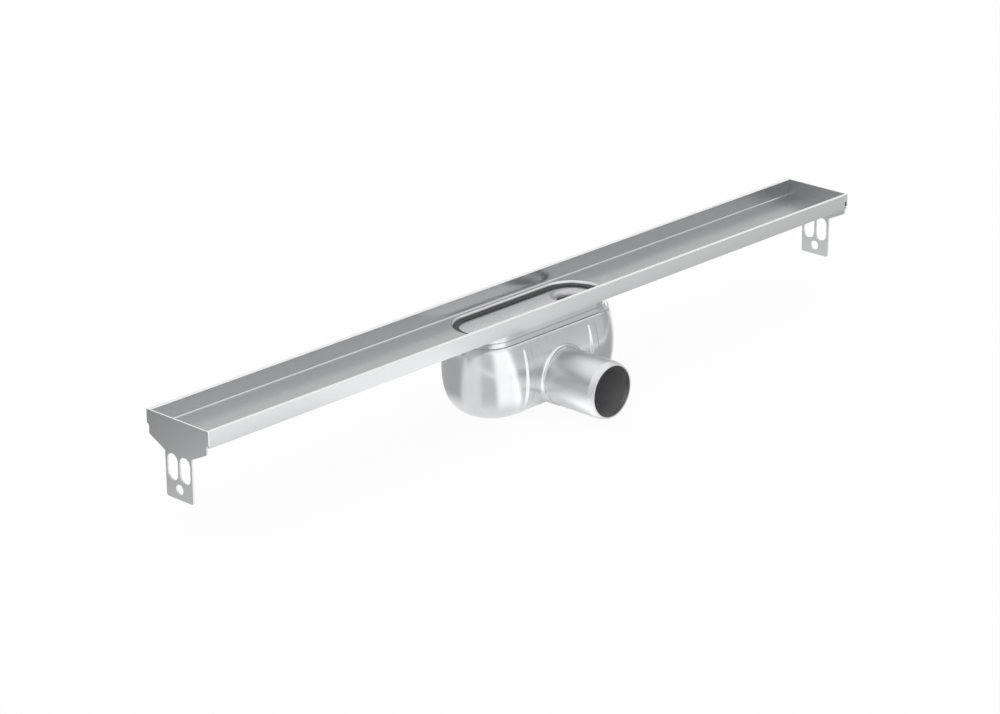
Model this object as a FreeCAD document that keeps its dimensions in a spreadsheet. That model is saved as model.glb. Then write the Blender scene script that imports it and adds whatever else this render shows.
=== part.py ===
import FreeCAD, Part
import math
import os
import re
import Sketcher

# Slim stainless channel drain with a drawn water trap under its middle.
# Frame: origin at the channel's centre in the plane of its rim, +X along the
# channel, -Y the way the outlet leaves, +Z up. Millimetres.

doc = FreeCAD.newDocument("channel_drain")
sizes = doc.addObject("Spreadsheet::Sheet", "Sizes")

# Driving dimensions: name, value, what it is.
driving = [
    ("channel_length", 784, "overall, over both end plates"),
    ("channel_width", 70, "over the folded flanges"),
    ("channel_depth", 14.2, "rim to the trough floor"),
    ("sheet", 1.2, "sheet of the trough, the trap body and the insert"),
    ("rim_gap", 0.6, "air inside the folded rim"),
    ("rim_round", 0.7, "radius on the rim's two edges"),
    ("floor_bend", 1.2, "inside radius where the walls meet the floor"),
    ("flange_drop", 13.9, "rim to the flange's lower edge"),
    ("relief_length", 2.4, "cut-out at the flange's end"),
    ("relief_top", 7, "rim to the cut-out's upper edge"),
    ("relief_height", 5, "height of the cut-out"),
    ("plate", 1.5, "end plate thickness"),
    ("shoulder_top", 11.6, "rim to the step under the flange"),
    ("shoulder_step", 2.3, "step in at each side of the end plate"),
    ("shoulder_end", 19.6, "rim to the shoulder's lower corner"),
    ("tab_top", 28.3, "rim to where the tab runs straight down"),
    ("tab_end", 65.6, "rim to the tab's lower edge"),
    ("tab_width", 30, "anchor tab"),
    ("plate_round", 2, "corner radius of the end plate"),
    ("slot_width", 12, "slot in the tab"),
    ("slot_length", 22, "slot, end to end"),
    ("slot_web", 2, "metal between the two slots"),
    ("slot_top", 29, "rim to the slots' upper ends"),
    ("anchor_hole", 8.5, "round hole under the slots"),
    ("anchor_depth", 57.2, "rim to the round hole's centre"),
    ("collar_radius", 28, "outside radius of the drain collar"),
    ("collar_spread", 53.8, "channel centre to the collar's arc centres"),
    ("lip_radius", 2.1, "rolled edge where the floor turns down"),
    ("seam_depth", 22.3, "rim to the seam of collar and trap body"),
    ("seam_groove", 0.35, "groove left along the welded seam"),
    ("crease_depth", 25.6, "rim to the crease under the neck"),
    ("crease_radius", 29.9, "outside radius at the crease"),
    ("trap_depth", 93.6, "rim to the underside of the trap body"),
    ("belly_rise", 37.1, "underside to the widest level of the trap body"),
    ("belly_radius", 39, "outside radius at the widest level"),
    ("foot_radius", 9.6, "radius of the flat underside"),
    ("foot_spread", 46.2, "centre to the arc centres at the underside"),
    ("rib_spread", 40, "centre to the middle of each rib"),
    ("rib_half_top", 3.4, "half the top of a rib"),
    ("rib_run", 1.8, "width of a rib's sloping side"),
    ("rib_height", 1.2, "how far a rib stands out of the wall"),
    ("rib_root", 0.6, "how far a rib's foot is sunk in the wall"),
    ("rib_round", 0.8, "rounding along a rib's edges"),
    ("rib_inset", 0.2, "how much narrower half a rib is inside the body"),
    ("seat_width", 1.5, "inward lip that carries the insert's seal"),
    ("outlet_rise", 3.3, "underside of the trap body to the underside of the outlet"),
    ("outlet_radius", 25, "outside radius of the outlet"),
    ("outlet_wall", 1.2, "outlet wall"),
    ("neck_length", 4, "drawn outlet neck, from the body's widest line"),
    ("neck_step", 0.4, "how far the drawn neck stands out of the welded tube"),
    ("neck_fillet", 3, "radius where the neck leaves the body"),
    ("outlet_reach", 93.4, "centre to the outlet's mouth"),
    ("lead_in", 5.4, "length of the tapered mouth"),
    ("lead_in_drop", 1.6, "how far the mouth draws in"),
    ("insert_depth", 17.6, "rim to the top of the insert plate"),
    ("insert_margin", 2.8, "gap from the insert plate to the collar"),
    ("inlet_radius", 12.5, "inside radius of the inlet's throat"),
    ("inlet_flare", 6, "radius of the flared inlet edge"),
    ("inlet_collar", 3, "straight collar under the flare"),
    ("tube_clearance", 9, "cup's underside to the open end of the inlet tube"),
    ("cup_radius", 20.8, "outside radius of the water cup"),
    ("cup_near", 5, "centre to the cup's inner arc centre"),
    ("cup_brim", 30, "rim to the cup's brim"),
    ("cup_clearance", 4.4, "trap body's floor to the cup's underside"),
    ("cup_round", 6, "radius round the cup's base"),
    ("strap_width", 12, "strap that hangs the cup"),
    ("strap_drop", 8, "overlap of strap and cup wall"),
    ("strap_foot", 7, "strap under the insert plate"),
    ("seal_lip", 1.3, "seal above the insert plate"),
    ("seal_cover", 2, "upper seal lip over the plate's edge"),
    ("seal_grip", 1.5, "lower seal lip under the plate's edge"),
    ("seal_round", 0.4, "rounding of the seal's upper edges"),
]

# Worked out from the driving dimensions: name, formula.
derived = [
    ("half_length", "channel_length / 2"),
    ("trough_length", "channel_length - 2 * plate"),
    ("flange_face", "channel_width / 2"),
    ("flange_back", "flange_face - sheet"),
    ("wall_outside", "flange_back - rim_gap"),
    ("wall_inside", "wall_outside - sheet"),
    ("floor_under", "channel_depth + sheet"),
    ("bend_outside", "floor_bend + sheet"),
    ("relief_start", "trough_length / 2 - relief_length"),
    ("relief_end", "trough_length / 2"),
    ("relief_low", "relief_top + relief_height"),
    ("shoulder_face", "flange_face - shoulder_step"),
    ("tab_half", "tab_width / 2"),
    ("slot_radius", "slot_width / 2"),
    ("slot_middle", "slot_web / 2 + slot_width / 2"),
    ("slot_high", "slot_top + slot_radius"),
    ("slot_low", "slot_top + slot_length - slot_radius"),
    ("hole_radius", "anchor_hole / 2"),
    ("collar_inside", "collar_radius - sheet"),
    ("lip_under", "lip_radius - sheet"),
    ("collar_height", "seam_depth - channel_depth - sheet / 2"),
    ("crease_inside", "crease_radius - sheet"),
    ("belly_inside", "belly_radius - sheet"),
    ("trap_inside", "trap_depth - sheet"),
    ("belly_depth", "trap_depth - belly_rise"),
    ("rib_belly", "belly_radius + rib_height"),
    ("rib_near_top", "rib_spread - rib_half_top"),
    ("rib_far_top", "rib_spread + rib_half_top"),
    ("rib_slope", "rib_run * (1 + rib_root / rib_height)"),
    ("rib_near_root", "rib_near_top - rib_slope"),
    ("rib_far_root", "rib_far_top + rib_slope"),
    ("groove_belly", "belly_inside + rib_height"),
    ("groove_near_top", "rib_near_top + rib_inset"),
    ("groove_far_top", "rib_far_top - rib_inset"),
    ("groove_near_root", "rib_near_root + rib_inset"),
    ("groove_far_root", "rib_far_root - rib_inset"),
    ("seat_inside", "collar_inside - seat_width"),
    ("seat_outside", "collar_inside + sheet / 2"),
    ("seat_under", "seam_depth + sheet"),
    ("outlet_inside", "outlet_radius - outlet_wall"),
    ("outlet_depth", "trap_depth - outlet_rise - outlet_radius"),
    ("neck_end", "belly_radius + neck_length"),
    ("neck_radius", "outlet_radius + neck_step"),
    ("neck_inside", "neck_radius - sheet"),
    ("mouth_start", "outlet_reach - lead_in"),
    ("mouth_outside", "outlet_radius - lead_in_drop"),
    ("mouth_inside", "mouth_outside - outlet_wall"),
    ("insert_under", "insert_depth + sheet"),
    ("insert_radius", "collar_inside - insert_margin"),
    ("flare_rim", "inlet_radius + inlet_flare"),
    ("flare_under", "inlet_flare - sheet"),
    ("throat_depth", "insert_depth + inlet_flare"),
    ("throat_end", "throat_depth + inlet_collar"),
    ("throat_outside", "inlet_radius + sheet"),
    ("flare_outer", "collar_spread + flare_rim"),
    ("flare_throat", "collar_spread + inlet_radius"),
    ("flare_collar", "collar_spread + throat_outside"),
    ("tube_outside", "throat_outside + sheet"),
    ("cup_base", "trap_inside - cup_clearance"),
    ("cup_height", "cup_base - cup_brim"),
    ("tube_end", "cup_base - tube_clearance"),
    ("tube_length", "tube_end - throat_depth"),
    ("strap_face", "cup_radius + sheet"),
    ("strap_middle", "(cup_near + collar_spread) / 2"),
    ("strap_half", "strap_width / 2"),
    ("strap_foot_end", "strap_face - strap_foot"),
    ("strap_under", "insert_under + sheet"),
    ("strap_end", "cup_brim + strap_drop"),
    ("seal_top", "insert_depth - seal_lip"),
    ("seal_upper_inside", "insert_radius - seal_cover"),
    ("seal_lower_inside", "insert_radius - seal_grip"),
    ("seal_lower_height", "seam_depth - insert_under"),
]

row = 0


def add_cell(name, content, note=""):
    """Write one named cell of the sheet."""
    global row
    row += 1
    sizes.set(f"A{row}", name)
    sizes.set(f"B{row}", content)
    sizes.set(f"C{row}", note)
    sizes.setAlias(f"B{row}", name)


for name, number, note in driving:
    add_cell(name, str(number), note)
for name, formula in derived:
    add_cell(name, "=" + formula)

# The drawn body's side is two quarter curves: a shoulder from the crease out
# to the belly, and a belly that turns in to the flat foot. The powers make
# them fuller or flatter than an ellipse.
shoulder_power = 1.2
base_power = 0.75


def add_levels(name, crease, belly, foot_depth, shoulder_angles, base_angles):
    """Cells for each level's radius, depth, arc centres and rib foot; their names, top to bottom."""
    curves = []
    for angle in shoulder_angles:
        out = math.sin(math.radians(angle)) ** shoulder_power
        up = math.cos(math.radians(angle)) ** shoulder_power
        curves.append((
            f"={crease} + ({belly} - {crease}) * {out:.6f}",
            f"=belly_depth - (belly_depth - crease_depth) * {up:.6f}",
        ))
    for angle in base_angles:
        out = abs(math.cos(math.radians(angle))) ** base_power
        down = math.sin(math.radians(angle)) ** base_power
        curves.append((
            f"=foot_radius + ({belly} - foot_radius) * {out:.6f}",
            f"=belly_depth + ({foot_depth} - belly_depth) * {down:.6f}",
        ))
    levels = []
    for number, (radius, depth) in enumerate(curves):
        key = f"{name}_{number}_"
        share = f"({key}depth - crease_depth) / (trap_depth - crease_depth)"
        add_cell(key + "radius", radius)
        add_cell(key + "depth", depth)
        add_cell(key + "spread", f"=collar_spread + (foot_spread - collar_spread) * {share}")
        add_cell(key + "root", f"={key}radius - rib_height - rib_root")
        levels.append(key)
    return levels


shoulder = [0, 10, 20, 32, 45, 60, 75, 90]
base = [15, 30, 45, 60, 75, 90]
shell_levels = add_levels("shell", "crease_radius", "belly_radius", "trap_depth", shoulder, base)
void_levels = add_levels("void", "crease_inside", "belly_inside", "trap_inside", shoulder, base)
rib_levels = add_levels("rib", "crease_radius", "rib_belly", "trap_depth", shoulder[3:], base[:5])
groove_levels = add_levels("groove", "crease_inside", "groove_belly", "trap_inside", shoulder[3:], base[:5])
doc.recompute()


def link(term):
    """The expression that reads a signed sheet name, such as -sheet."""
    return re.sub(r"([a-z]\w*)", r"Sizes.\1", term)


def value(term):
    """The number that a signed sheet name holds now."""
    if term == "0":
        return 0.0
    sign = -1.0 if term.startswith("-") else 1.0
    return sign * float(sizes.get(term.lstrip("-")))


def start_body(label):
    """A new sub-part, empty."""
    body = doc.addObject("PartDesign::Body", label)
    body.Label = label
    return body


def start_sketch(body, plane, offset="0"):
    """An empty sketch on one of the body's own planes, moved along its normal."""
    sketch = body.newObject("Sketcher::SketchObject", body.Name + "_sketch")
    role = plane + "_Plane"
    support = next(item for item in body.Origin.OriginFeatures if item.Role == role)
    sketch.AttachmentSupport = [(support, "")]
    sketch.MapMode = "FlatFace"
    if offset != "0":
        shift = FreeCAD.Vector(0, 0, value(offset))
        sketch.AttachmentOffset = FreeCAD.Placement(shift, FreeCAD.Rotation())
        sketch.setExpression("AttachmentOffset.Base.z", link(offset))
    return sketch


def fix(sketch, kind, *where, term):
    """A dimension of the sketch that follows the sheet."""
    number = sketch.addConstraint(Sketcher.Constraint(kind, *where, value(term)))
    sketch.setExpression(f"Constraints[{number}]", link(term))


def fix_point(sketch, item, end, x, y):
    """Hold one end or centre of a sketch item at a point given by sheet names."""
    vertical_axis, horizontal_axis = -2, -1
    if x == "0":
        sketch.addConstraint(Sketcher.Constraint("PointOnObject", item, end, vertical_axis))
    else:
        fix(sketch, "DistanceX", -1, 1, item, end, term=x)
    if y == "0":
        sketch.addConstraint(Sketcher.Constraint("PointOnObject", item, end, horizontal_axis))
    else:
        fix(sketch, "DistanceY", -1, 1, item, end, term=y)


def draw_outline(sketch, corners):
    """A closed outline. A corner is (x, y), or (x, y, radius, turn) where an arc leaves it."""
    first = sketch.GeometryCount
    points = [FreeCAD.Vector(value(c[0]), value(c[1]), 0) for c in corners]
    ends = []
    for i, corner in enumerate(corners):
        a = points[i]
        b = points[(i + 1) % len(points)]
        if len(corner) == 2:
            sketch.addGeometry(Part.LineSegment(a, b))
            ends.append((1, 2))
            continue
        radius, turn = value(corner[2]), corner[3]
        half = (b - a) * 0.5
        left = FreeCAD.Vector(-half.y, half.x, 0).normalize()
        height = math.sqrt(max(radius ** 2 - half.Length ** 2, 0))
        centre = a + half + left * height * turn
        from_a = math.atan2(a.y - centre.y, a.x - centre.x)
        from_b = math.atan2(b.y - centre.y, b.x - centre.x)
        circle = Part.Circle(centre, FreeCAD.Vector(0, 0, 1), radius)
        if turn > 0:
            sketch.addGeometry(Part.ArcOfCircle(circle, from_a, from_b))
            ends.append((1, 2))
        else:
            sketch.addGeometry(Part.ArcOfCircle(circle, from_b, from_a))
            ends.append((2, 1))
    for i, corner in enumerate(corners):
        after = (i + 1) % len(corners)
        joint = Sketcher.Constraint("Coincident", first + i, ends[i][1], first + after, ends[after][0])
        sketch.addConstraint(joint)
        fix_point(sketch, first + i, ends[i][0], corner[0], corner[1])
        if len(corner) > 2:
            fix(sketch, "Radius", first + i, term=corner[2])


def draw_slot(sketch, start, end, radius):
    """A round-ended slot between two arc centres that lie along X or along Y."""
    first = sketch.GeometryCount
    a = FreeCAD.Vector(value(start[0]), value(start[1]), 0)
    b = FreeCAD.Vector(value(end[0]), value(end[1]), 0)
    r = value(radius)
    along = (b - a).normalize()
    side = FreeCAD.Vector(-along.y, along.x, 0) * r
    heading = math.atan2(along.y, along.x)
    quarter = math.pi / 2
    normal = FreeCAD.Vector(0, 0, 1)
    sketch.addGeometry(Part.LineSegment(a + side, b + side))
    sketch.addGeometry(Part.ArcOfCircle(Part.Circle(b, normal, r), heading - quarter, heading + quarter))
    sketch.addGeometry(Part.LineSegment(b - side, a - side))
    sketch.addGeometry(Part.ArcOfCircle(Part.Circle(a, normal, r), heading + quarter, heading + 3 * quarter))
    for one, one_end, other, other_end in ((0, 2, 1, 2), (1, 1, 2, 1), (2, 2, 3, 2), (3, 1, 0, 1)):
        smooth = Sketcher.Constraint("Tangent", first + one, one_end, first + other, other_end)
        sketch.addConstraint(smooth)
    fix_point(sketch, first + 1, 3, end[0], end[1])
    fix_point(sketch, first + 3, 3, start[0], start[1])
    fix(sketch, "Radius", first + 1, term=radius)
    sketch.addConstraint(Sketcher.Constraint("Equal", first + 1, first + 3))


def draw_circle(sketch, x, y, radius):
    """A circle about a point given by sheet names."""
    item = sketch.GeometryCount
    centre = FreeCAD.Vector(value(x), value(y), 0)
    sketch.addGeometry(Part.Circle(centre, FreeCAD.Vector(0, 0, 1), value(radius)))
    fix_point(sketch, item, 3, x, y)
    fix(sketch, "Radius", item, term=radius)


def extrude(body, kind, sketch, length, reversed_way=False, symmetric=False):
    """A Pad or Pocket of the sketch, its length bound to the sheet."""
    feature = body.newObject("PartDesign::" + kind, f"{body.Name}_{kind.lower()}")
    feature.Profile = sketch
    feature.Length = value(length)
    feature.setExpression("Length", link(length))
    feature.Reversed = reversed_way
    if symmetric:
        feature.SideType = "Symmetric"
    doc.recompute()
    return feature


def loft(body, kind, sketches, ruled=False):
    """An additive or subtractive loft through the sketches in order."""
    feature = body.newObject(f"PartDesign::{kind}Loft", f"{body.Name}_{kind.lower()}_loft")
    feature.Profile = sketches[0]
    feature.Sections = sketches[1:]
    feature.Ruled = ruled
    doc.recompute()
    return feature


def mirror(body, feature, plane):
    """The feature once more on the other side of one of the body's planes."""
    twin = body.newObject("PartDesign::Mirrored", body.Name + "_mirrored")
    role = plane + "_Plane"
    twin.Originals = [feature]
    twin.MirrorPlane = (next(item for item in body.Origin.OriginFeatures if item.Role == role), [""])
    body.Tip = twin
    doc.recompute()
    return twin


def soften(body, kind, base, test, size):
    """A Fillet or Chamfer on those edges of the base feature that pass the test."""
    names = [f"Edge{i + 1}" for i, edge in enumerate(base.Shape.Edges) if test(edge)]
    feature = body.newObject("PartDesign::" + kind, f"{body.Name}_{kind.lower()}")
    feature.Base = (base, names)
    prop = "Radius" if kind == "Fillet" else "Size"
    setattr(feature, prop, value(size))
    feature.setExpression(prop, link(size))
    doc.recompute()
    return feature


tight = 1e-3


def near(a, b):
    """Whether two lengths are the same."""
    return abs(a - b) < tight


def runs_along_x(edge, y, z):
    """Whether the edge runs along X at |y| and z."""
    box = edge.BoundBox
    flat = box.YLength < tight and box.ZLength < tight
    return flat and near(abs(box.YMin), y) and near(box.ZMin, z)


def lies_at(edge, z):
    """Whether the whole edge lies at height z."""
    return near(edge.BoundBox.ZMin, z) and near(edge.BoundBox.ZMax, z)


def oval_edge(edge, z, radius, spread):
    """Whether the edge is part of the oval of that radius at height z."""
    if not lies_at(edge, z):
        return False
    middle = edge.valueAt((edge.FirstParameter + edge.LastParameter) / 2)
    beyond = max(abs(middle.x) - spread, 0)
    return abs(math.hypot(beyond, middle.y) - radius) < 0.05


def oval(sketch, radius, spread="collar_spread"):
    """The oval outline that the collar, the seal and the insert share."""
    draw_slot(sketch, ("-" + spread, "0"), (spread, "0"), radius)


# Trough: one folded sheet. Its rims turn out and down into flanges, and its
# floor is drawn down into the oval drain collar.
def make_trough():
    body = start_body("channel_trough")
    section = start_sketch(body, "YZ")
    right = [
        ("flange_face", "-flange_drop"),
        ("flange_face", "0"),
        ("wall_inside", "0"),
        ("wall_inside", "-channel_depth"),
    ]
    under = [
        ("wall_outside", "-floor_under"),
        ("wall_outside", "-sheet"),
        ("flange_back", "-sheet"),
        ("flange_back", "-flange_drop"),
    ]
    left = [("-" + y, z) for y, z in reversed(right)]
    left_under = [("-" + y, z) for y, z in reversed(under)]
    draw_outline(section, right + left + left_under + under)
    folded = extrude(body, "Pad", section, "trough_length", symmetric=True)
    inside, outside = value("wall_inside"), value("wall_outside")
    floor, under_floor = -value("channel_depth"), -value("floor_under")
    folded = soften(body, "Fillet", folded, lambda e: runs_along_x(e, outside, under_floor), "bend_outside")
    folded = soften(body, "Fillet", folded, lambda e: runs_along_x(e, inside, floor), "floor_bend")
    face = value("flange_face")
    rim = soften(
        body, "Fillet", folded,
        lambda e: runs_along_x(e, face, 0) or runs_along_x(e, inside, 0), "rim_round",
    )
    collar_sketch = start_sketch(body, "XY", "-seam_depth")
    oval(collar_sketch, "collar_radius")
    extrude(body, "Pad", collar_sketch, "collar_height")
    bore_sketch = start_sketch(body, "XY", "-seam_depth")
    oval(bore_sketch, "collar_inside")
    collar = extrude(body, "Pocket", bore_sketch, "seam_depth", reversed_way=True)
    spread = value("collar_spread")
    inner, outer = value("collar_inside"), value("collar_radius")
    collar = soften(body, "Fillet", collar, lambda e: oval_edge(e, under_floor, outer, spread), "lip_under")
    collar = soften(body, "Fillet", collar, lambda e: oval_edge(e, floor, inner, spread), "lip_radius")
    seam = -value("seam_depth")
    soften(body, "Chamfer", collar, lambda e: oval_edge(e, seam, outer, spread), "seam_groove")
    relief_sketch = start_sketch(body, "XZ", "flange_face")
    relief = [
        ("relief_start", "-relief_low"),
        ("relief_end", "-relief_low"),
        ("relief_end", "-relief_top"),
        ("relief_start", "-relief_top"),
    ]
    draw_outline(relief_sketch, relief)
    cut = extrude(body, "Pocket", relief_sketch, "sheet")
    mirror(body, cut, "XZ")
    return body


# End plate: one flat blank that closes the trough and runs down into the
# anchor tab, with two slots over a round hole.
def make_end_plate(label, position, turn):
    body = start_body(label)
    blank = start_sketch(body, "YZ")
    half = [
        ("flange_face", "0"),
        ("flange_face", "-shoulder_top"),
        ("shoulder_face", "-shoulder_top"),
        ("shoulder_face", "-shoulder_end"),
        ("tab_half", "-tab_top"),
        ("tab_half", "-tab_end"),
    ]
    other = [("-" + y, z) for y, z in reversed(half)]
    draw_outline(blank, half + other)
    plate = extrude(body, "Pad", blank, "plate")
    rounded = [
        (value("shoulder_face"), -value("shoulder_end")),
        (value("tab_half"), -value("tab_top")),
        (value("tab_half"), -value("tab_end")),
    ]
    plate = soften(
        body, "Fillet", plate,
        lambda e: any(runs_along_x(e, y, z) for y, z in rounded), "plate_round",
    )
    slot_sketch = start_sketch(body, "YZ")
    draw_slot(slot_sketch, ("slot_middle", "-slot_low"), ("slot_middle", "-slot_high"), "slot_radius")
    slot = extrude(body, "Pocket", slot_sketch, "plate", reversed_way=True)
    mirror(body, slot, "XZ")
    hole_sketch = start_sketch(body, "YZ")
    draw_circle(hole_sketch, "0", "-anchor_depth", "hole_radius")
    extrude(body, "Pocket", hole_sketch, "plate", reversed_way=True)
    rotation = FreeCAD.Rotation(FreeCAD.Vector(0, 0, 1), turn)
    body.Placement = FreeCAD.Placement(FreeCAD.Vector(value(position), 0, 0), rotation)
    body.setExpression("Placement.Base.x", link(position))
    return body


def bowl_loft(body, kind, levels):
    """A loft through ovals, one for each level."""
    sketches = []
    for key in levels:
        sketch = start_sketch(body, "XY", f"-{key}depth")
        oval(sketch, key + "radius", key + "spread")
        sketches.append(sketch)
    return loft(body, kind, sketches)


def rib_loft(body, kind, name, levels):
    """A slab across the bowl with sloping sides, which stands out of it at front and back."""
    sketches = []
    for key in levels:
        sketch = start_sketch(body, "XY", f"-{key}depth")
        profile = [
            (name + "_near_root", key + "root"),
            (name + "_near_top", key + "radius"),
            (name + "_far_top", key + "radius"),
            (name + "_far_root", key + "root"),
        ]
        front = [(x, "-" + y) for x, y in reversed(profile)]
        draw_outline(sketch, profile + front)
        sketches.append(sketch)
    return loft(body, kind, sketches)


# Trap body: one deep-drawn bowl with a coned neck, two raised ribs that run
# down its front and back, and an outlet collar drawn out of its front.
def make_trap_body():
    body = start_body("trap_body")
    bowl_loft(body, "Additive", shell_levels)
    neck_top = start_sketch(body, "XY", "-seam_depth")
    oval(neck_top, "collar_radius")
    neck_foot = start_sketch(body, "XY", "-crease_depth")
    oval(neck_foot, "crease_radius")
    loft(body, "Additive", [neck_top, neck_foot], ruled=True)
    outlet_sketch = start_sketch(body, "XZ")
    draw_circle(outlet_sketch, "0", "-outlet_depth", "neck_radius")
    neck = extrude(body, "Pad", outlet_sketch, "neck_end")
    end, radius, depth = -value("neck_end"), value("neck_radius"), value("outlet_depth")

    def at_neck_root(edge):
        box = edge.BoundBox
        within = box.XMax < radius + tight and box.XMin > -radius - tight
        level = box.ZMin > -depth - radius - tight and box.ZMax < radius - depth + tight
        return within and level and box.YMax < 0 and box.YMin > end + tight and edge.Length > radius / 2

    soften(body, "Fillet", neck, at_neck_root, "neck_fillet")
    rib = rib_loft(body, "Additive", "rib", rib_levels)
    ribbed = mirror(body, rib, "YZ")
    near_foot, far_foot, least = value("rib_near_root"), value("rib_far_root"), value("belly_rise")

    def along_rib(edge):
        box = edge.BoundBox
        offsets = sorted((abs(box.XMin), abs(box.XMax)))
        one_side = box.XMin * box.XMax > 0
        return one_side and box.ZLength > least and offsets[0] > near_foot and offsets[1] < far_foot

    ribbed = soften(body, "Fillet", ribbed, along_rib, "rib_round")
    seam, top_radius, spread = -value("seam_depth"), value("collar_radius"), value("collar_spread")
    soften(body, "Chamfer", ribbed, lambda e: oval_edge(e, seam, top_radius, spread), "seam_groove")
    bowl_loft(body, "Subtractive", void_levels)
    void_top = start_sketch(body, "XY", "-seam_depth")
    oval(void_top, "collar_inside")
    void_foot = start_sketch(body, "XY", "-crease_depth")
    oval(void_foot, "crease_inside")
    loft(body, "Subtractive", [void_top, void_foot], ruled=True)
    groove = rib_loft(body, "Subtractive", "groove", groove_levels)
    mirror(body, groove, "YZ")
    bore_sketch = start_sketch(body, "XZ")
    draw_circle(bore_sketch, "0", "-outlet_depth", "neck_inside")
    extrude(body, "Pocket", bore_sketch, "neck_end", reversed_way=True)
    seat_sketch = start_sketch(body, "XY", "-seat_under")
    oval(seat_sketch, "seat_outside")
    oval(seat_sketch, "seat_inside")
    extrude(body, "Pad", seat_sketch, "sheet")
    return body


# Outlet spigot: a tube welded to the drawn neck, its mouth drawn in for a
# pipe socket.
def make_spigot():
    body = start_body("outlet_spigot")
    section = start_sketch(body, "YZ")
    outline = [
        ("-neck_end", "outlet_inside"),
        ("-mouth_start", "outlet_inside"),
        ("-outlet_reach", "mouth_inside"),
        ("-outlet_reach", "mouth_outside"),
        ("-mouth_start", "outlet_radius"),
        ("-neck_end", "outlet_radius"),
    ]
    draw_outline(section, outline)
    turned = body.newObject("PartDesign::Revolution", "outlet_spigot_revolution")
    turned.Profile = section
    turned.ReferenceAxis = (section, ["H_Axis"])
    turned.Angle = 360
    body.Placement.Base.z = -value("outlet_depth")
    body.setExpression("Placement.Base.z", link("-outlet_depth"))
    return body


# Insert plate: an oval plate whose inlet is flared and drawn down into a
# short throat, turned about the inlet's own axis.
def make_insert_plate():
    body = start_body("insert_plate")
    blank = start_sketch(body, "XY", "-insert_under")
    oval(blank, "insert_radius")
    extrude(body, "Pad", blank, "sheet")
    hole_sketch = start_sketch(body, "XY", "-insert_under")
    draw_circle(hole_sketch, "collar_spread", "0", "flare_rim")
    extrude(body, "Pocket", hole_sketch, "sheet", reversed_way=True)
    section = start_sketch(body, "XZ")
    profile = [
        ("flare_throat", "-throat_depth", "inlet_flare", -1),
        ("flare_outer", "-insert_depth"),
        ("flare_outer", "-insert_under", "flare_under", 1),
        ("flare_collar", "-throat_depth"),
        ("flare_collar", "-throat_end"),
        ("flare_throat", "-throat_end"),
    ]
    draw_outline(section, profile)
    centre = value("collar_spread")
    top, low = -value("insert_depth"), -value("throat_depth")
    line = Part.LineSegment(FreeCAD.Vector(centre, low, 0), FreeCAD.Vector(centre, top, 0))
    axis = section.addGeometry(line, True)
    section.addConstraint(Sketcher.Constraint("Vertical", axis))
    fix_point(section, axis, 1, "collar_spread", "-throat_depth")
    fix(section, "DistanceY", axis, 1, axis, 2, term="inlet_flare")
    turned = body.newObject("PartDesign::Revolution", "insert_plate_flare")
    turned.Profile = section
    turned.ReferenceAxis = (section, ["Axis0"])
    turned.Angle = 360
    doc.recompute()
    return body


# Inlet tube: sleeved over the throat and open under the water line.
def make_inlet_tube():
    body = start_body("inlet_tube")
    section = start_sketch(body, "XY", "-tube_end")
    draw_circle(section, "collar_spread", "0", "tube_outside")
    draw_circle(section, "collar_spread", "0", "throat_outside")
    extrude(body, "Pad", section, "tube_length")
    return body


# Water cup: a deep-drawn oval cup that the inlet tube dips into.
def make_cup():
    body = start_body("seal_cup")
    section = start_sketch(body, "XY", "-cup_base")
    draw_slot(section, ("cup_near", "0"), ("collar_spread", "0"), "cup_radius")
    block = extrude(body, "Pad", section, "cup_height")
    bottom, brim = -value("cup_base"), -value("cup_brim")
    block = soften(body, "Fillet", block, lambda e: lies_at(e, bottom), "cup_round")
    open_face = [
        f"Face{i + 1}"
        for i, face in enumerate(block.Shape.Faces)
        if face.BoundBox.ZLength < tight and near(face.BoundBox.ZMax, brim)
    ]
    hollow = body.newObject("PartDesign::Thickness", "seal_cup_thickness")
    hollow.Base = (block, open_face)
    hollow.Value = value("sheet")
    hollow.setExpression("Value", link("sheet"))
    hollow.Reversed = True
    hollow.Mode = "Skin"
    hollow.Join = "Intersection"
    doc.recompute()
    return body


# Strap: a folded strip, its foot under the insert plate and its leg on the
# cup's flat side.
def make_strap(label, turn):
    body = start_body(label)
    section = start_sketch(body, "YZ")
    outline = [
        ("-strap_foot_end", "-insert_under"),
        ("-strap_face", "-insert_under"),
        ("-strap_face", "-strap_end"),
        ("-cup_radius", "-strap_end"),
        ("-cup_radius", "-strap_under"),
        ("-strap_foot_end", "-strap_under"),
    ]
    draw_outline(section, outline)
    folded = extrude(body, "Pad", section, "strap_width", symmetric=True)
    face, top = value("strap_face"), -value("insert_under")
    soften(body, "Fillet", folded, lambda e: runs_along_x(e, face, top), "sheet")
    rotation = FreeCAD.Rotation(FreeCAD.Vector(0, 0, 1), turn)
    body.Placement = FreeCAD.Placement(FreeCAD.Vector(value("strap_middle"), 0, 0), rotation)
    body.setExpression("Placement.Base.x", link("strap_middle"))
    return body


# Seal: a rubber ring that grips the insert plate's edge, fills the collar
# and stands on the trap body's seat.
def make_seal():
    body = start_body("seal_ring")
    steps = [
        ("-seam_depth", "seal_lower_inside", "seal_lower_height"),
        ("-insert_under", "insert_radius", "sheet"),
        ("-insert_depth", "seal_upper_inside", "seal_lip"),
    ]
    ring = None
    for base, inside, height in steps:
        section = start_sketch(body, "XY", base)
        oval(section, "collar_inside")
        oval(section, inside)
        ring = extrude(body, "Pad", section, height)
    top = -value("seal_top")
    soften(body, "Fillet", ring, lambda e: lies_at(e, top), "seal_round")
    return body


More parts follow.
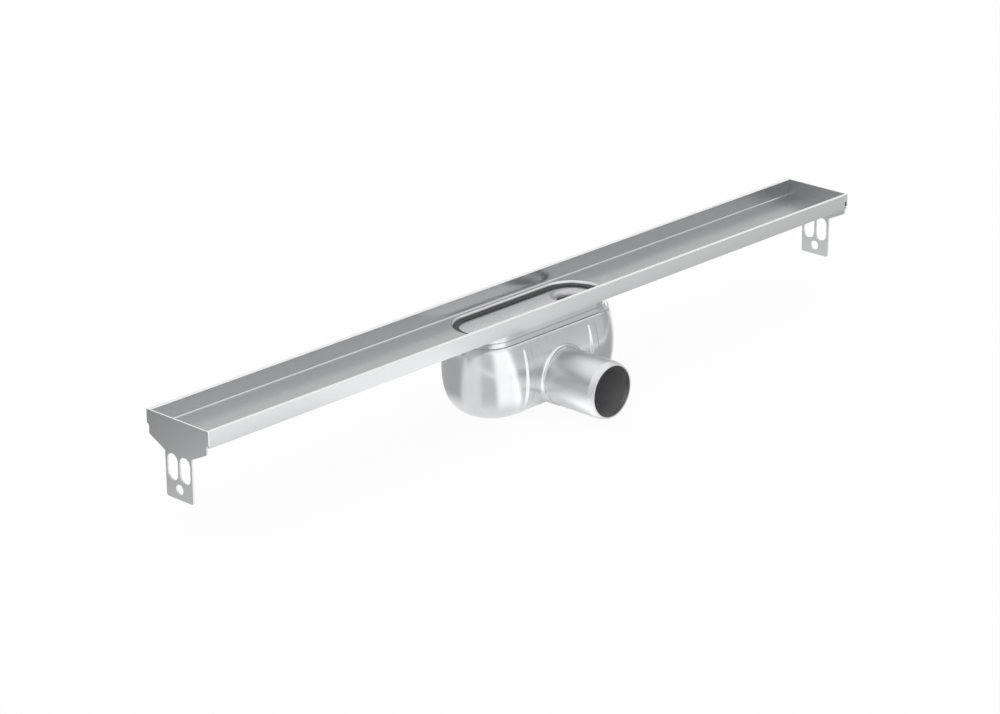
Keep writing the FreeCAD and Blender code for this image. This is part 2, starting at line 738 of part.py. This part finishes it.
parts = [
    make_trough(),
    make_end_plate("end_plate_left", "-half_length", 0),
    make_end_plate("end_plate_right", "half_length", 180),
    make_trap_body(),
    make_spigot(),
    make_insert_plate(),
    make_inlet_tube(),
    make_cup(),
    make_strap("cup_strap_front", 0),
    make_strap("cup_strap_back", 180),
    make_seal(),
]
doc.recompute()

for item in doc.Objects:
    if "Invalid" in item.State or "Error" in item.State:
        raise RuntimeError(f"{item.Label} did not build: {item.State}")

os.makedirs("parts", exist_ok=True)
for part in parts:
    if part.Shape.isNull() or not part.Shape.isValid():
        raise RuntimeError(f"{part.Label} has no valid shape")
    part.Shape.exportStep(f"parts/{part.Label}.step")
    print(part.Label, round(part.Shape.Volume, 1), "mm3")
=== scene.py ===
import math
import bpy
import numpy as np
from mathutils import Matrix, Vector


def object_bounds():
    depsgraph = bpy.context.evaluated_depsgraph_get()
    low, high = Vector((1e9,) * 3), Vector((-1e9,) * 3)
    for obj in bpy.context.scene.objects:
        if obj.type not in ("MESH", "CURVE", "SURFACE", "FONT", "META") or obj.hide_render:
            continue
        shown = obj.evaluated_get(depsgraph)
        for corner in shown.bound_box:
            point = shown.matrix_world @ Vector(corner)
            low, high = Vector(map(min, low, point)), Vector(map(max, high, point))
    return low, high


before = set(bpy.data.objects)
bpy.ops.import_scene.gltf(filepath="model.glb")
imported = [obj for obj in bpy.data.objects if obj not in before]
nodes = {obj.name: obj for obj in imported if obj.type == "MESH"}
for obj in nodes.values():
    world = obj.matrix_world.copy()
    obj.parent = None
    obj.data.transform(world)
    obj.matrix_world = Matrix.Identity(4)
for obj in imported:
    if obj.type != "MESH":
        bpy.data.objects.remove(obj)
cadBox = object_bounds()
scene = bpy.context.scene
plainWhite = (1.0, 1.0, 1.0, 1.0)
print("frame loaded:", len(nodes), "nodes")


# small helpers that build shader nodes

def newMaterial(name):
    material = bpy.data.materials.new(name)
    material.use_nodes = True
    material.node_tree.nodes.clear()
    return material


def addNode(tree, kind, inputs=None, **settings):
    # an input that is a socket is linked, and any other is set on the node's own socket
    node = tree.nodes.new(kind)
    for key, setting in settings.items():
        setattr(node, key, setting)
    for key, value in (inputs or {}).items():
        if isinstance(value, bpy.types.NodeSocket):
            tree.links.new(value, node.inputs[key])
        else:
            node.inputs[key].default_value = value
    return node


def mathNode(tree, operation, a, b=0.0):
    return addNode(tree, "ShaderNodeMath", {0: a, 1: b}, operation=operation).outputs[0]


def vectorNode(tree, operation, a, b=None):
    inputs = {0: a} if b is None else {0: a, 1: b}
    return addNode(tree, "ShaderNodeVectorMath", inputs, operation=operation).outputs


def rangeNode(tree, value, fromLow, fromHigh, toLow, toHigh):
    return addNode(tree, "ShaderNodeMapRange", {
        "Value": value, "From Min": fromLow, "From Max": fromHigh, "To Min": toLow, "To Max": toHigh,
    }).outputs[0]


def softStep(tree, value, start, end):
    # rises from zero at start to one at end, with soft ends
    return addNode(tree, "ShaderNodeMapRange", {"Value": value, "From Min": start, "From Max": end},
                   interpolation_type="SMOOTHSTEP").outputs[0]


def blend(tree, factor, a, b):
    # a plus factor times the way from a to b
    way = mathNode(tree, "SUBTRACT", b, a)
    return mathNode(tree, "ADD", a, mathNode(tree, "MULTIPLY", way, factor))


def colorMix(tree, factor, a, b):
    mix = addNode(tree, "ShaderNodeMix", data_type="RGBA")
    for key, value in (("Factor", factor), ("A", a), ("B", b)):
        socket = next(item for item in mix.inputs if item.name == key and item.enabled)
        if isinstance(value, bpy.types.NodeSocket):
            tree.links.new(value, socket)
        else:
            socket.default_value = (*value, 1.0)
    return next(item for item in mix.outputs if item.enabled)


def stretchedNoise(tree, coords, stretch, detail, breakUp):
    # noise whose grain is stretched by dividing each axis by its own grain length, in metres
    mapping = addNode(tree, "ShaderNodeMapping", {"Vector": coords})
    mapping.inputs["Scale"].default_value = tuple(1.0 / length for length in stretch)
    noise = addNode(tree, "ShaderNodeTexNoise", {"Vector": mapping.outputs[0], "Scale": 1.0,
                                                 "Detail": detail, "Roughness": breakUp})
    return noise.outputs["Fac"]


def addShader(tree, color, roughness, height, values, metallic):
    # one shader with its bump, from a colour, a roughness and a height
    bump = addNode(tree, "ShaderNodeBump", {"Height": height, "Strength": values["bump"],
                                            "Distance": values["bumpDepth"]})
    shader = addNode(tree, "ShaderNodeBsdfPrincipled", {
        "Base Color": color, "Roughness": roughness, "Normal": bump.outputs[0], "Metallic": metallic,
    })
    addNode(tree, "ShaderNodeOutputMaterial", {"Surface": shader.outputs[0]})


# steel: a stretched grain and a wider cloud, mixed half and half, vary the colour and the roughness

grainValues = {"detail": 4.0, "breakUp": 0.6}
cloudValues = {"detail": 2.0, "breakUp": 0.5}
mixSpread = (0.3, 0.7)  # the mixed noise stays about within this

steelValues = {
    "rolled": {  # folded trough, brushed along its length, with duller rims and a painted highlight along them
        "grain": (0.05, 0.0008, 0.0008), "cloud": (0.12, 0.02, 0.02),
        "roughness": (0.2, 0.26), "dark": (0.625, 0.63, 0.635), "light": (0.645, 0.65, 0.655),
        "bump": 0.015, "bumpDepth": 0.0002,
        # the lighter rim colour below is a painted highlight along the trough's top edges
        "edgeRoughness": 0.55, "paintedEdgeHighlight": (0.88, 0.88, 0.885), "edgeDepth": 0.0007,
    },
    "plate": {  # flat laser-cut end plates, dull on the face, with a painted highlight along the cut edges
        "grain": (0.004, 0.02, 0.0012), "cloud": (0.03, 0.03, 0.03),
        "roughness": (0.28, 0.36), "dark": (0.445, 0.45, 0.455), "light": (0.475, 0.48, 0.485),
        "bump": 0.04, "bumpDepth": 0.0002,
        # the lighter cut-edge colour below is a painted highlight
        "edgeRoughness": 0.5, "paintedEdgeHighlight": (0.93, 0.93, 0.935), "edgeSkin": 0.00006,
    },
    "drawn": {  # deep-drawn trap, satin from pickling, with faint upright draw marks
        "grain": (0.003, 0.003, 0.03), "cloud": (0.02, 0.02, 0.02),
        "roughness": (0.19, 0.25), "dark": (0.655, 0.66, 0.67), "light": (0.70, 0.705, 0.715),
        "bump": 0.03, "bumpDepth": 0.0002,
    },
    "spigot": {  # rolled and welded tube, satin outside and dull inside
        "grain": (0.002, 0.02, 0.002), "cloud": (0.02, 0.02, 0.02),
        "roughness": (0.29, 0.35), "dark": (0.64, 0.645, 0.655), "light": (0.69, 0.695, 0.705),
        "bump": 0.04, "bumpDepth": 0.0002,
        "boreRoughness": 0.5, "boreColorAndShade": (0.7, 0.7, 0.71), "boreWall": 0.0012, "boreSlack": 0.0003,
    },
    "insert": {  # lift-out insert, bright satin, with painted shade down its inlet
        "grain": (0.03, 0.001, 0.001), "cloud": (0.02, 0.02, 0.02),
        "roughness": (0.24, 0.3), "dark": (0.855, 0.86, 0.865), "light": (0.885, 0.89, 0.895),
        "bump": 0.005, "bumpDepth": 0.0002,
        # the darker bore colour below is painted shade down the inlet and over its flare
        "boreRoughness": 0.4, "boreColorAndShade": (0.5, 0.5, 0.51), "boreFlare": 0.0045,
    },
}


def cornersOf(name):
    mesh = nodes[name].data
    places = np.empty(len(mesh.vertices) * 3)
    mesh.vertices.foreach_get("co", places)
    places = places.reshape(-1, 3)
    return places.min(0), places.max(0)


def spigotBore(values):
    # along Y, at the spigot's middle, with a radius just over its inside
    low, high = cornersOf("outlet_spigot")
    middle = (low + high) / 2
    radius = (high[2] - low[2]) / 2 - values["boreWall"] + values["boreSlack"]
    return (0.0, 0.0, middle[2]), (1.0, 0.0, 1.0), radius


def inletShadeBore(values):
    # where the inlet's painted shade goes: along Z, at the inlet tube's middle, with a radius that takes
    # in the flare above it
    low, high = cornersOf("inlet_tube")
    middle = (low + high) / 2
    radius = (high[1] - low[1]) / 2 + values["boreFlare"]
    return (middle[0], middle[1], 0.0), (1.0, 1.0, 0.0), radius


def rimHighlightBand(values):
    # where the rim's painted highlight goes: the top of the trough, down to its edge depth
    return "Z", -values["edgeDepth"], values["edgeDepth"]


def cutHighlightBand(values):
    # where the cut edges' painted highlight goes: between the two faces of an end plate, so on its cut
    # edges only
    low, high = cornersOf("end_plate_right")
    return "X", low[0] + values["edgeSkin"], high[0] - values["edgeSkin"]


def insideBore(tree, coords, bore):
    # one where a point is nearer to the bore's axis than its radius
    centre, across, radius = bore
    offset = vectorNode(tree, "SUBTRACT", coords, centre)[0]
    flat = vectorNode(tree, "MULTIPLY", offset, across)[0]
    return mathNode(tree, "LESS_THAN", vectorNode(tree, "LENGTH", flat)["Value"], radius)


def insideBand(tree, coords, band):
    # one where a point's distance from the middle along one axis lies within the band
    axis, low, high = band
    along = addNode(tree, "ShaderNodeSeparateXYZ", {0: coords}).outputs[axis]
    distance = mathNode(tree, "ABSOLUTE", along)
    return mathNode(tree, "MULTIPLY", mathNode(tree, "GREATER_THAN", distance, low),
                    mathNode(tree, "LESS_THAN", distance, high))


def overlay(tree, mask, color, roughness, newColor, newRoughness):
    # where the mask is one, takes the new colour and is at least as rough as the new roughness
    rough = mathNode(tree, "MAXIMUM", roughness, mathNode(tree, "MULTIPLY", mask, newRoughness))
    return colorMix(tree, mask, color, newColor), rough


def steelMaterial(name, values, bore=None, band=None):
    material = newMaterial(name)
    tree = material.node_tree
    coords = addNode(tree, "ShaderNodeTexCoord").outputs["Object"]
    grain = stretchedNoise(tree, coords, values["grain"], **grainValues)
    cloud = stretchedNoise(tree, coords, values["cloud"], **cloudValues)
    mixed = blend(tree, 0.5, grain, cloud)
    roughness = rangeNode(tree, mixed, *mixSpread, *values["roughness"])
    color = colorMix(tree, rangeNode(tree, mixed, *mixSpread, 0.0, 1.0), values["dark"], values["light"])
    # the bore overlay gives the spigot its own inside colour, and paints shade into the insert's inlet
    if bore:
        color, roughness = overlay(tree, insideBore(tree, coords, bore), color, roughness,
                                   values["boreColorAndShade"], values["boreRoughness"])
    # the band overlay paints highlights on the trough's rims and on the end plates' cut edges
    if band:
        color, roughness = overlay(tree, insideBand(tree, coords, band), color, roughness,
                                   values["paintedEdgeHighlight"], values["edgeRoughness"])
    addShader(tree, color, roughness, grain, values, metallic=1.0)
    return material


# rubber: moulded and matte, with a fine grain and a little wear

rubberValues = {
    "color": (0.022, 0.022, 0.024), "worn": (0.045, 0.045, 0.047), "roughness": (0.42, 0.6),
    "grain": (0.0006, 0.0006, 0.0006), "cloud": (0.012, 0.012, 0.012), "detail": 3.0, "breakUp": 0.55,
    "bump": 0.2, "bumpDepth": 0.0002,
}


def rubberMaterial(name, values):
    material = newMaterial(name)
    tree = material.node_tree
    coords = addNode(tree, "ShaderNodeTexCoord").outputs["Object"]
    grain = stretchedNoise(tree, coords, values["grain"], values["detail"], values["breakUp"])
    cloud = stretchedNoise(tree, coords, values["cloud"], values["detail"], values["breakUp"])
    roughness = rangeNode(tree, cloud, 0.0, 1.0, *values["roughness"])
    color = colorMix(tree, cloud, values["color"], values["worn"])
    addShader(tree, color, roughness, grain, values, metallic=0.0)
    return material


# the insert's bore takes painted shade, the spigot's bore its own inside colour, and both bands take
# painted highlights
bores = {"spigot": spigotBore(steelValues["spigot"]), "insert": inletShadeBore(steelValues["insert"])}
highlightBands = {"rolled": rimHighlightBand(steelValues["rolled"]), "plate": cutHighlightBand(steelValues["plate"])}
finishes = {name: steelMaterial("steel-" + name, values, bores.get(name), highlightBands.get(name))
            for name, values in steelValues.items()}
finishes["rubber"] = rubberMaterial("seal-rubber", rubberValues)

nodeFinish = {
    "channel_trough": "rolled",
    "end_plate_left": "plate",
    "end_plate_right": "plate",
    "trap_body": "drawn",
    "outlet_spigot": "spigot",
    "insert_plate": "insert",
    "inlet_tube": "insert",
    "seal_cup": "drawn",
    "cup_strap_front": "insert",
    "cup_strap_back": "insert",
    "seal_ring": "rubber",
}
for nodeName, finish in nodeFinish.items():
    mesh = nodes[nodeName].data
    mesh.materials.clear()
    mesh.materials.append(finishes[finish])
print("finishes given to the frame's nodes")


# floor and studio: a ring of upright soft panels, which metal sees in the sky and across the floor

stageValues = {
    "floorHalf": 9.0,
    "floorColor": (0.8, 0.8, 0.8, 1.0),
    "cameraShare": 0.95,  # share of plain white that the floor shows to the camera
    "surround": 0.52,     # glow of the room all round, low down
    "panels": [  # name, azimuth, half width, soft edge, levels added in the sky and in the floor
        ("left", 186, 20, 8, 0.48, 0.48),
        ("gap", 222, 16, 6, 0.22, 0.22),
        ("strip", 268, 25, 7, 0.93, 0.93),
        ("front", 302, 14, 10, 0.22, 0.38),
        ("far", 8, 12, 8, 0.5, 0.75),
        ("back", 45, 14, 8, 0.15, 0.1),
        ("behind", 137, 14, 8, 0.35, 0.0),
    ],
    "panelCentre": (-0.054, 0.0),  # the floor's panels fan out from under the trap's left end
    "ceiling": 1.2,
    "ceilingRise": (25, 50),  # elevations between which the ring gives way to the ceiling
    "overhead": {"azimuth": 332, "elevation": 40, "tightness": 20, "level": 0.1},  # softbox over the rims
    "under": 1.0,
    "underReach": (0.03, 0.065),  # the floor right under the panels' centre, and where it ends
    "apron": (1.44, 0.94),        # floor in front of the flange, at its left and right ends
    "apronSpan": (-0.25, 0.55),
    "apronNear": (-0.155, -0.2),
    "apronFar": (-0.22, -0.29),
}
inSky, inFloor = 0, 1  # places of a panel's two levels


def unitAt(azimuth, elevation=0):
    around, rise = math.radians(azimuth), math.radians(elevation)
    return math.cos(around) * math.cos(rise), math.sin(around) * math.cos(rise), math.sin(rise)


def panelRing(tree, direction, values, place):
    # each panel adds its level where the flat direction lies within its half width
    flat = vectorNode(tree, "MULTIPLY", direction, (1.0, 1.0, 0.0))[0]
    outward = vectorNode(tree, "NORMALIZE", flat)[0]
    total = values["surround"]
    for name, azimuth, half, soft, *levels in values["panels"]:
        facing = vectorNode(tree, "DOT_PRODUCT", outward, unitAt(azimuth))["Value"]
        outer, inner = (math.cos(math.radians(angle)) for angle in (half + soft, half - soft))
        inside = softStep(tree, facing, outer, inner)
        total = mathNode(tree, "ADD", total, mathNode(tree, "MULTIPLY", inside, levels[place]))
    return total


def floorGlow(tree, coords, values, low):
    # what metal sees in the floor: the ring, a pale round under the trap, and the apron in front
    centreX, centreY = values["panelCentre"]
    offset = vectorNode(tree, "SUBTRACT", coords, (centreX, centreY, low))[0]
    reach = vectorNode(tree, "LENGTH", offset)["Value"]
    nearCentre = softStep(tree, reach, *reversed(values["underReach"]))
    ring = blend(tree, nearCentre, panelRing(tree, offset, values, inFloor), values["under"])
    place = addNode(tree, "ShaderNodeSeparateXYZ", {0: coords}).outputs
    apron = rangeNode(tree, place["X"], *values["apronSpan"], *values["apron"])
    inApron = mathNode(tree, "MULTIPLY", softStep(tree, place["Y"], *values["apronNear"]),
                       softStep(tree, place["Y"], *reversed(values["apronFar"])))
    return blend(tree, inApron, ring, apron)


def makeFloor(values, low):
    # the camera sees nearly plain white with the part's shadow, and metal sees the glow
    half = values["floorHalf"]
    mesh = bpy.data.meshes.new("floor")
    mesh.from_pydata([(-half, -half, low), (half, -half, low), (half, half, low), (-half, half, low)],
                     [], [(0, 1, 2, 3)])
    floor = bpy.data.objects.new("floor", mesh)
    scene.collection.objects.link(floor)
    material = newMaterial("floor-paper")
    tree = material.node_tree
    path = addNode(tree, "ShaderNodeLightPath").outputs
    coords = addNode(tree, "ShaderNodeTexCoord").outputs["Object"]
    metal = path["Is Glossy Ray"]
    clear = mathNode(tree, "ADD", path["Is Camera Ray"], path["Is Transmission Ray"])
    strength = blend(tree, metal, 1.0, floorGlow(tree, coords, values, low))
    share = mathNode(tree, "ADD", mathNode(tree, "MULTIPLY", clear, values["cameraShare"]), metal)
    paper = addNode(tree, "ShaderNodeBsdfDiffuse", {"Color": values["floorColor"]})
    white = addNode(tree, "ShaderNodeEmission", {"Color": plainWhite, "Strength": strength})
    mix = addNode(tree, "ShaderNodeMixShader", {0: share, 1: paper.outputs[0], 2: white.outputs[0]})
    addNode(tree, "ShaderNodeOutputMaterial", {"Surface": mix.outputs[0]})
    mesh.materials.append(material)


def makeStudio(values):
    # plain white for the camera, and for all else the ring, the ceiling and the softbox
    world = bpy.data.worlds.new("studio")
    scene.world = world
    world.use_nodes = True
    tree = world.node_tree
    tree.nodes.clear()
    direction = addNode(tree, "ShaderNodeTexCoord").outputs["Generated"]
    height = addNode(tree, "ShaderNodeSeparateXYZ", {0: direction}).outputs["Z"]
    low, high = (math.sin(math.radians(angle)) for angle in values["ceilingRise"])
    upward = softStep(tree, height, low, high)
    room = blend(tree, upward, panelRing(tree, direction, values, inSky), values["ceiling"])
    overhead = values["overhead"]
    softboxUnit = unitAt(overhead["azimuth"], overhead["elevation"])
    facing = vectorNode(tree, "DOT_PRODUCT", direction, softboxUnit)["Value"]
    softbox = mathNode(tree, "POWER", mathNode(tree, "MAXIMUM", facing, 0.0), overhead["tightness"])
    total = mathNode(tree, "ADD", room, mathNode(tree, "MULTIPLY", softbox, overhead["level"]))
    path = addNode(tree, "ShaderNodeLightPath").outputs
    light = addNode(tree, "ShaderNodeBackground", {"Color": plainWhite, "Strength": total})
    white = addNode(tree, "ShaderNodeBackground", {"Color": plainWhite, "Strength": 1.0})
    mix = addNode(tree, "ShaderNodeMixShader",
                  {0: path["Is Camera Ray"], 1: light.outputs[0], 2: white.outputs[0]})
    addNode(tree, "ShaderNodeOutputWorld", {"Surface": mix.outputs[0]})


makeFloor(stageValues, cadBox[0][2])
makeStudio(stageValues)
print("floor and studio light set")


cameraValues = {
    "azimuth": 46.683, "elevation": 20.892, "roll": -0.2357,
    "distance": 2.65897, "right": 0.02449, "up": 0.05498,
    "lens": 114.11, "sensor": 36.0, "clipEnd": 50.0,
}


def makeCamera(values):
    # looks along azimuth and elevation from distance away, then slides by -right and -up in its own plane
    azimuth = math.radians(values["azimuth"])
    elevation = math.radians(values["elevation"])
    roll = math.radians(values["roll"])
    ahead = Vector((math.sin(azimuth) * math.cos(elevation), math.cos(azimuth) * math.cos(elevation),
                    -math.sin(elevation)))
    level = ahead.cross(Vector((0, 0, 1))).normalized()
    upright = level.cross(ahead)
    right = level * math.cos(roll) + upright * math.sin(roll)
    up = upright * math.cos(roll) - level * math.sin(roll)
    place = -ahead * values["distance"] - right * values["right"] - up * values["up"]
    data = bpy.data.cameras.new("camera")
    data.sensor_width = values["sensor"]
    data.lens = values["lens"]
    data.clip_end = values["clipEnd"]
    camera = bpy.data.objects.new("camera", data)
    camera.matrix_world = Matrix((
        (right.x, up.x, -ahead.x, place.x),
        (right.y, up.y, -ahead.y, place.y),
        (right.z, up.z, -ahead.z, place.z),
        (0, 0, 0, 1),
    ))
    scene.collection.objects.link(camera)
    scene.camera = camera


makeCamera(cameraValues)
scene.view_settings.view_transform = "Standard"
print("camera set")
